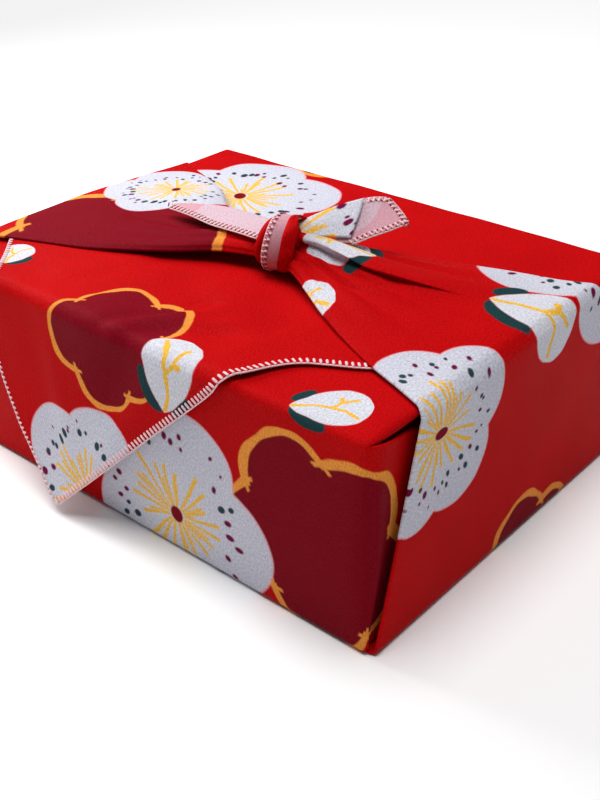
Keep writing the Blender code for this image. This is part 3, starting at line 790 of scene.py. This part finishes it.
def strokeAway(x, y, start, end):
    # distance from a straight brush stroke
    dx, dy = end[0] - start[0], end[1] - start[1]
    fromX, fromY = minus(x, start[0]), minus(y, start[1])
    size = dx * dx + dy * dy
    share = weighed(fromX, dx / size, fromY, dy / size, clamp=True)
    return distance(scaled(share, -dx, fromX), scaled(share, -dy, fromY))


bud = {
    # half width of the body from foot to tip, both as shares
    "profile": ((0.0, 0.0), (0.06, 0.22), (0.2, 0.52), (0.35, 0.79), (0.5, 0.94), (0.63, 1.0), (0.78, 0.92),
                (0.9, 0.66), (0.97, 0.36), (1.0, 0.0)),
    "halfWidth": 0.8,
    "wobble": 0.14,
    "blur": 0.03,
    # middle, turn in degrees, half length and half width of each sepal
    "sepals": ((-0.58, 0.5, 44, 0.58, 0.27), (-0.66, -0.48, -42, 0.38, 0.2)),
    "strokes": (((-0.92, 0.0), (-0.45, -0.05)), ((-0.45, -0.05), (0.02, 0.03)), ((0.02, 0.03), (0.24, -0.2)),
                ((0.24, -0.2), (0.62, -0.3)), ((0.24, -0.2), (0.23, -0.4)), ((0.02, 0.03), (0.36, 0.16)),
                ((0.36, 0.16), (0.66, 0.5))),
}


def budGroup():
    # an opening bud with its tip at +X: round white body with a pointed foot, two dark sepals, golden strokes
    place, seed = newGroup("plumBud", Place=vector, Seed=number)
    blur = bud["blur"]
    x, y = wobbled(place, seed, 1.5, bud["wobble"])[:2]
    half = addNode("FloatCurve", {"Value": scaled(x, 0.5, 0.5, clamp=True)})
    curve = half.mapping.curves[0]
    curve.points[0].location, curve.points[1].location = bud["profile"][0], bud["profile"][-1]
    for spot in bud["profile"][1:-1]:
        curve.points.new(*spot)
    half.mapping.update()
    body = minus(calc("ABSOLUTE", y), scaled(half.outputs[0], bud["halfWidth"] + 0.05, -0.05))
    sepals = []
    for middleX, middleY, turn, longHalf, shortHalf in bud["sepals"]:
        c, s = math.cos(math.radians(turn)), math.sin(math.radians(turn))
        offX, offY = minus(x, middleX), minus(y, middleY)
        away = distance(weighed(offX, c / longHalf, offY, s / longHalf),
                        weighed(offY, c / shortHalf, offX, -s / shortHalf))
        sepals.append(softMask(times(minus(away, 1.0), shortHalf), blur))
    near = combined("MINIMUM", [strokeAway(x, y, start, end) for start, end in bud["strokes"]])
    width = scaled(noise(place, 2.6, 1.0, seed).outputs[0], 0.11, -0.004)
    inside = softMask(calc("ADD", body, 0.03), blur)
    return closeGroup(Body=softMask(body, blur), Rim=nearLine(body, 0.018, blur),
                      Line=times(below(near, width, blur), inside), Sepal=combined("MAXIMUM", sepals))


def crepeGroup():
    # the fine pebbled grain of crepe, with a slow unevenness of the dye
    place, = newGroup("crepeGrain", Place=vector)
    squeezed = addNode("Mapping", {"Scale": (1.0, 1.7, 1.0), "Vector": place}).outputs[0]
    pebble = noise(squeezed, 780.0, 3.0, rough=0.6).outputs[0]
    fine = noise(place, 1900.0, 1.0).outputs[0]
    return closeGroup(Height=weighed(pebble, 1.0, fine, 0.35), Grain=pebble,
                      Drift=noise(place, 26.0, 2.0).outputs[0])


# materials

colours = {
    "red": (0.52, 0.0033, 0.0041, 1.0),
    "deepRed": (0.44, 0.0026, 0.004, 1.0),
    "maroon": (0.2, 0.003, 0.0105, 1.0),
    "gold": (0.8, 0.29, 0.05, 1.0),
    "strokeGold": (0.84, 0.48, 0.06, 1.0),
    "white": (0.64, 0.64, 0.71, 1.0),
    "whiteShade": (0.5, 0.5, 0.6, 1.0),
    "dotMaroon": (0.15, 0.005, 0.045, 1.0),
    "dotTeal": (0.016, 0.058, 0.07, 1.0),
    "sepal": (0.013, 0.045, 0.05, 1.0),
    "reverse": (0.62, 0.36, 0.42, 1.0),
    "reversePale": (0.6, 0.53, 0.6, 1.0),
    "petalRim": (0.82, 0.36, 0.4, 1.0),
    # painted shade for the hollows of the reverse's grain
    "reverseHollowShade": (0.55, 0.15, 0.19, 1.0),
    "thread": (0.9, 0.7, 0.72, 1.0),
    "threadShade": (0.66, 0.28, 0.32, 1.0),
    "zigzag": (0.34, 0.02, 0.035, 1.0),
    "zigzagShade": (0.16, 0.008, 0.018, 1.0),
}


def newMaterial(name, roughness, specular, specularTint):
    material = bpy.data.materials.new(name)
    material.use_nodes = True
    shader = material.node_tree.nodes["Principled BSDF"]
    for label, value in (("Roughness", roughness), ("Specular IOR Level", specular), ("Specular Tint", specularTint)):
        shader.inputs[label].default_value = value
    return material, shader


def useGroup(group, **values):
    return addNode("Group", values, node_tree=group).outputs


def uvPlace(tree, name):
    return addNode("UVMap", {}, tree, uv_map=name).outputs[0]


def motif(tree, groups, kind):
    seed = addNode("Attribute", {}, tree, attribute_type="GEOMETRY", attribute_name=kind + "Seed").outputs["Fac"]
    return useGroup(groups[kind], Place=uvPlace(tree, kind + "Place"), Seed=seed)


def finishMaterial(material, shader, colour, height, strength, distance):
    link(shader.inputs["Base Color"], colour)
    bump = addNode("Bump", {"Strength": strength, "Distance": distance, "Height": height})
    link(shader.inputs["Normal"], bump.outputs[0])
    return material


def layered(colour, *coats):
    # each coat is a mask and the colour it lays over what is there
    for mask, tone in coats:
        colour = mixColour(mask, colour, colours[tone] if isinstance(tone, str) else tone)
    return colour


def printedCrepe(groups):
    material, shader = newMaterial("printedCrepe", 0.5, 0.014, (1.0, 0.4, 0.4, 1.0))
    tree = material.node_tree
    crepe = useGroup(groups["crepe"], Place=uvPlace(tree, "flatCloth"))
    blossom, outlined, opening = (motif(tree, groups, kind) for kind in ("blossom", "outlined", "bud"))
    dye = scaled(crepe["Drift"], 1.6, -0.35, clamp=True)
    petal = layered(mixColour(blossom["Shade"], colours["white"], colours["whiteShade"]),
                    (blossom["Stamen"], "strokeGold"), (blossom["Dot"], "dotMaroon"), (blossom["DotTone"], "dotTeal"),
                    (blossom["Heart"], "maroon"))
    colour = layered(mixColour(dye, colours["deepRed"], colours["red"]),
                     (outlined["Fill"], "maroon"), (outlined["Line"], "gold"),
                     (blossom["Petal"], petal), (times(blossom["Rim"], 0.55), "petalRim"),
                     (opening["Sepal"], "sepal"), (opening["Body"], "white"),
                     (times(opening["Rim"], 0.5), "petalRim"), (opening["Line"], "strokeGold"))
    # painted light and shade on the grain: the pebbles are painted lighter, as if lit, and the hollows between them
    # painted darker
    shade = addNode("HueSaturation", {"Color": colour, "Value": scaled(crepe["Grain"], 1.2, 0.38)})
    link(shader.inputs["Roughness"], scaled(crepe["Grain"], 0.3, 0.34))
    return finishMaterial(material, shader, shade.outputs[0], crepe["Height"], 0.8, 0.0006)


def reverseCrepe(groups):
    material, shader = newMaterial("reverseCrepe", 0.75, 0.1, (1.0, 0.8, 0.8, 1.0))
    tree = material.node_tree
    crepe = useGroup(groups["crepe"], Place=uvPlace(tree, "flatCloth"))
    # the print shows through faintly: paler behind the white blossoms
    petal = motif(tree, groups, "blossom")["Petal"]
    tone = mixColour(times(petal, 0.8), colours["reverse"], colours["reversePale"])
    # painted shade in the grain's hollows: deeper pink is mixed in where the pebbles are low
    hollowShadeMix = scaled(crepe["Grain"], 3.0, -0.85, clamp=True)
    colour = mixColour(hollowShadeMix, mixColour(0.35, colours["reverseHollowShade"], tone), tone)
    return finishMaterial(material, shader, colour, crepe["Height"], 0.5, 0.0003)


def hemThread(name, dark, light):
    material, shader = newMaterial(name, 0.6, 0.2, (1.0, 0.85, 0.85, 1.0))
    strands = noise(addNode("TexCoord", {}, material.node_tree).outputs["Object"], 1500.0, 2.0).outputs[0]
    colour = mixColour(scaled(strands, 1.8, -0.3, clamp=True), colours[dark], colours[light])
    return finishMaterial(material, shader, colour, strands, 0.5, 0.0002)


# the overlocked hem

hem = {"pitch": 0.0026, "slant": 0.001, "barRadius": 0.00062, "barFlat": 0.55, "cordRadius": 0.0004, "above": 0.0002,
       "zigzagRadius": 0.00042, "zigzagSlant": 2.2, "foldWidth": 0.003, "underWidth": 0.0016, "knotWidth": 0.0028,
       "endWidth": 0.0026}


def modelStitch():
    # one bar of thread, one unit long, shaped from a ball
    bpy.ops.object.select_all(action="DESELECT")
    bpy.ops.mesh.primitive_uv_sphere_add(segments=8, ring_count=6, radius=0.5, location=(0, 0, 0))
    stitch = bpy.context.object
    stitch.name = "stitchModel"
    bpy.ops.object.mode_set(mode="EDIT")
    bpy.ops.mesh.select_all(action="SELECT")
    bpy.ops.transform.rotate(value=math.radians(90), orient_axis="Y", center_override=(0, 0, 0))
    bpy.ops.object.mode_set(mode="OBJECT")
    points = np.array([vert.co[:] for vert in stitch.data.vertices])
    # blunter ends than a ball's
    points[:, 1:] *= (1 + 0.55 * (2 * np.abs(points[:, :1])) ** 2)
    points[:, 1:] *= (1.0 / max(np.abs(points[:, 1]).max(), 1e-9))
    faces = [tuple(face.vertices) for face in stitch.data.polygons]
    bpy.data.objects.remove(stitch, do_unlink=True)
    return points, faces


def evenly(line, inner, printedSide):
    # stations at even distances along a hem, with the way in and the printed side's normal
    run = runAlong(line)
    at = np.arange(0.3 * hem["pitch"], run[-1], hem["pitch"])
    place, inward = (stacked(*(np.interp(at, run, column) for column in values.T)) for values in (line, inner - line))
    ahead = unit(np.gradient(place, axis=0))
    inward = unit(inward - ahead * (inward * ahead).sum(axis=-1, keepdims=True))
    normal = unit(np.cross(ahead, inward))
    facing = (normal * (np.array(printedSide) - (place if np.ndim(printedSide) > 1 else 0))).sum(axis=-1, keepdims=True)
    return place, ahead, inward, np.where(facing < 0, -normal, normal)


def tube(middle, inward, normal, radius, count=6):
    # rings of a cord and their faces
    turns = np.linspace(0, 2 * math.pi, count + 1)[:-1, None]
    rings = middle[:, None] + radius * (np.cos(turns) * inward[:, None] + np.sin(turns) * normal[:, None])
    faces = [(i * count + k, (i + 1) * count + k, (i + 1) * count + (k + 1) % count, i * count + (k + 1) % count)
             for i in range(len(middle) - 1) for k in range(count)]
    faces += [tuple(range(count)), tuple(range((len(middle) - 1) * count, len(middle) * count))[::-1]]
    return rings.reshape(-1, 3), faces


def threadAlong(lines):
    # pale bars over the hem on both faces, a cord along it, and on the reverse a deeper zigzag between the bars
    stitchPoints, stitchFaces = modelStitch()
    above, back, cord, slant = hem["above"], -block["cloth"], hem["cordRadius"], hem["slant"]
    # 1 for the zigzag, height over the printed side, slant, shift along the hem, radius
    bars = ((0, above, slant, 0.0, hem["barRadius"]), (0, back - above, -slant, 0.0, hem["barRadius"]),
            (1, back - 0.5 * above, hem["zigzagSlant"] * slant, 0.5 * hem["pitch"], hem["zigzagRadius"]))
    parts = []
    for line, inner, printedSide, width, zigzag in lines:
        place, ahead, inward, normal = evenly(line, inner, printedSide)
        for kind, height, lean, shift, radius in bars if zigzag else bars[:2]:
            start = place + normal * height - inward * cord * (1 - kind) + ahead * shift
            span = inward * (width + cord) * (1 - 0.15 * kind) + ahead * lean
            for a, b, up, w in zip(start, span, normal, np.cross(normal, unit(span))):
                bar = a + 0.5 * b + stitchPoints[:, :1] * b
                bar = bar + stitchPoints[:, 1:2] * w * radius + stitchPoints[:, 2:] * up * radius * hem["barFlat"]
                parts.append((bar, stitchFaces, kind))
        parts.append((*tube(place - inward * cord + normal * 0.5 * back, inward, normal, cord), 0))
    vertices, faces, slots, count = [], [], [], 0
    for points, partFaces, slot in parts:
        vertices.append(points)
        faces.extend(tuple(count + v for v in face) for face in partFaces)
        slots.extend([slot] * len(partFaces))
        count += len(points)
    mesh = bpy.data.meshes.new("hemStitches")
    mesh.from_pydata(np.concatenate(vertices).tolist(), [], faces)
    mesh.polygons.foreach_set("material_index", slots)
    piece = newPiece(mesh, lambda shaped: bmesh.ops.recalc_face_normals(shaped, faces=shaped.faces))
    mesh.shade_smooth()
    return piece


# make the pieces

stripPatch, (rightHem, leftHem) = foldedStrip()
print("strip folded:", stripPatch["points"].shape)
bandPatch, bandHem = frontBand()
rightPrinted = looseEnd("rightPrinted", 26, 17, (0.0, -0.455), True)
rightPlain = looseEnd("rightPlain", 30, 17, (0.06, -0.455), False)
leftEnd = looseEnd("left", 40, 13, (0.0, 0.447), True)
patches = [stripPatch]
patches += [cornerWing(sign, side) for sign in (-1, 1) for side in (-1, 1)]
patches += [tiedArm("right", -1), tiedArm("left", 1)]
print("arms and wings folded")
patches += [knotCore(), bandPatch, backBand(), rightPrinted, rightPlain, leftEnd]
cloth = assemble("furoshikiCloth", patches)
placePrint(cloth)
print("cloth faces:", len(cloth.data.polygons))

groups = {"crepe": crepeGroup(), "blossom": blossomGroup(), "outlined": outlinedGroup(), "bud": budGroup()}
cloth.data.materials.append(printedCrepe(groups))
cloth.data.materials.append(reverseCrepe(groups))
cloth.data.shade_smooth()

bpy.ops.object.select_all(action="DESELECT")
bpy.context.view_layer.objects.active = cloth
cloth.select_set(True)
thick = cloth.modifiers.new("clothThickness", "SOLIDIFY")
thick.thickness = block["cloth"]
thick.offset = -1.0
thick.material_offset = 1
thick.material_offset_rim = 0
bpy.ops.object.modifier_apply(modifier=thick.name)
# inside the arms' tight pleats the printed side is all that shows
flatLayer = cloth.data.uv_layers["flatCloth"].data
halfWidth, inFromEdge = arms["printedInside"]
for face in cloth.data.polygons:
    x, y = flatLayer[face.loop_start].uv
    if face.material_index == 1 and abs(x) < halfWidth and halfY < abs(y) < halfY + boxTop + inFromEdge:
        face.material_index = 0
print("cloth thickened, triangles about", 2 * len(cloth.data.polygons))


def tailHem(patch, side, start):
    # a hem along one side of a loose end's grid, and the points two steps further in
    points = patch["points"]
    points = {"upper": points, "lower": points[:, ::-1], "end": np.swapaxes(points, 0, 1)[:, ::-1]}[side]
    reverseUp = (0.35, 0.15, -0.92)  # the printed side faces down here
    return points[start:, 0], points[start:, 2], reverseUp, hem["endWidth"], True


stitches = threadAlong([
    (*rightHem, (-1, -0.2, 0.6), hem["foldWidth"], False),
    (*leftHem, (-1, 0.2, 0.6), hem["underWidth"], False),
    (*bandHem, np.broadcast_to(knot["middle"], (1, 3)), hem["knotWidth"], True),
    tailHem(leftEnd, "lower", 8),
    tailHem(rightPlain, "upper", 12),
    tailHem(rightPlain, "end", 0),
    tailHem(rightPlain, "lower", 6),
])
stitches.data.materials.append(hemThread("hemThread", "threadShade", "thread"))
stitches.data.materials.append(hemThread("zigzagThread", "zigzagShade", "zigzag"))
print("hem stitched")

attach(cloth, "root")
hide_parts("furoshiki_cloth")
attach(stitches, "root")

# floor, light and camera

studio = {
    "floorSize": 30.0,
    "floorDrop": 0.0003,
    "floor": (0.95, 0.95, 0.955, 1.0),
    "sky": (1.0, 1.0, 1.0, 1.0),
    "skyStrength": 0.13,
    "backdrop": 0.88,
    # a wide sun for the even floor: where it comes from, its spread in degrees, strength
    "sun": ((-0.03, 0.02, 1.0), 40.0, 2.6),
    # place, aimed at, size, power in watts
    "lamp": ((-0.03, 0.6, 0.5), (-0.05, 0.0, 0.1), 0.42, 5.0),
    "cameraPlace": (-0.3655, -0.33516, 0.32171),
    "cameraTurn": (58.8085, 1.1207, -49.1016),
    "lens": 50.42,
}

bpy.ops.object.select_all(action="DESELECT")
bpy.ops.mesh.primitive_plane_add(size=studio["floorSize"], location=(0, 0, -studio["floorDrop"]))
floor = bpy.context.object
floor.name = "paleFloor"
floorMaterial, floorShader = newMaterial("paleFloor", 0.85, 0.1, (1.0, 1.0, 1.0, 1.0))
floorShader.inputs["Base Color"].default_value = studio["floor"]
floor.data.materials.append(floorMaterial)

scene = bpy.context.scene
scene.view_settings.view_transform = "Standard"
world = bpy.data.worlds.new("paleStudio")
scene.world = world
world.use_nodes = True
sky = world.node_tree.nodes["Background"]
sky.inputs["Color"].default_value = studio["sky"]
# a bright backdrop in the picture, a fainter sky as light
seen = world.node_tree.nodes.new("ShaderNodeLightPath").outputs["Is Camera Ray"]
strength = scaled(seen, studio["backdrop"] - studio["skyStrength"], studio["skyStrength"])
link(sky.inputs["Strength"], strength)


def addLamp(name, kind, energy, aim):
    data = bpy.data.lights.new(name, kind)
    data.energy = energy
    lamp = newObject(name, data)
    x, y, z = aim
    lamp.rotation_euler = (math.atan2(math.hypot(x, y), -z), 0, math.atan2(y, x) - math.pi / 2)
    return lamp


comesFrom, spread, energy = studio["sun"]
sun = addLamp("wideSun", "SUN", energy, [-value for value in comesFrom])
sun.data.angle = math.radians(spread)
place, target, size, energy = studio["lamp"]
lamp = addLamp("softLamp", "AREA", energy, np.array(target) - np.array(place))
lamp.location = place
lamp.data.shape = "SQUARE"
lamp.data.size = size

camera = newObject("camera", bpy.data.cameras.new("camera"))
camera.location = studio["cameraPlace"]
camera.rotation_euler = [math.radians(angle) for angle in studio["cameraTurn"]]
camera.data.sensor_fit = "VERTICAL"
camera.data.sensor_height = 36.0
camera.data.lens = studio["lens"]
camera.data.clip_start = 0.01
scene.camera = camera
print("studio set")
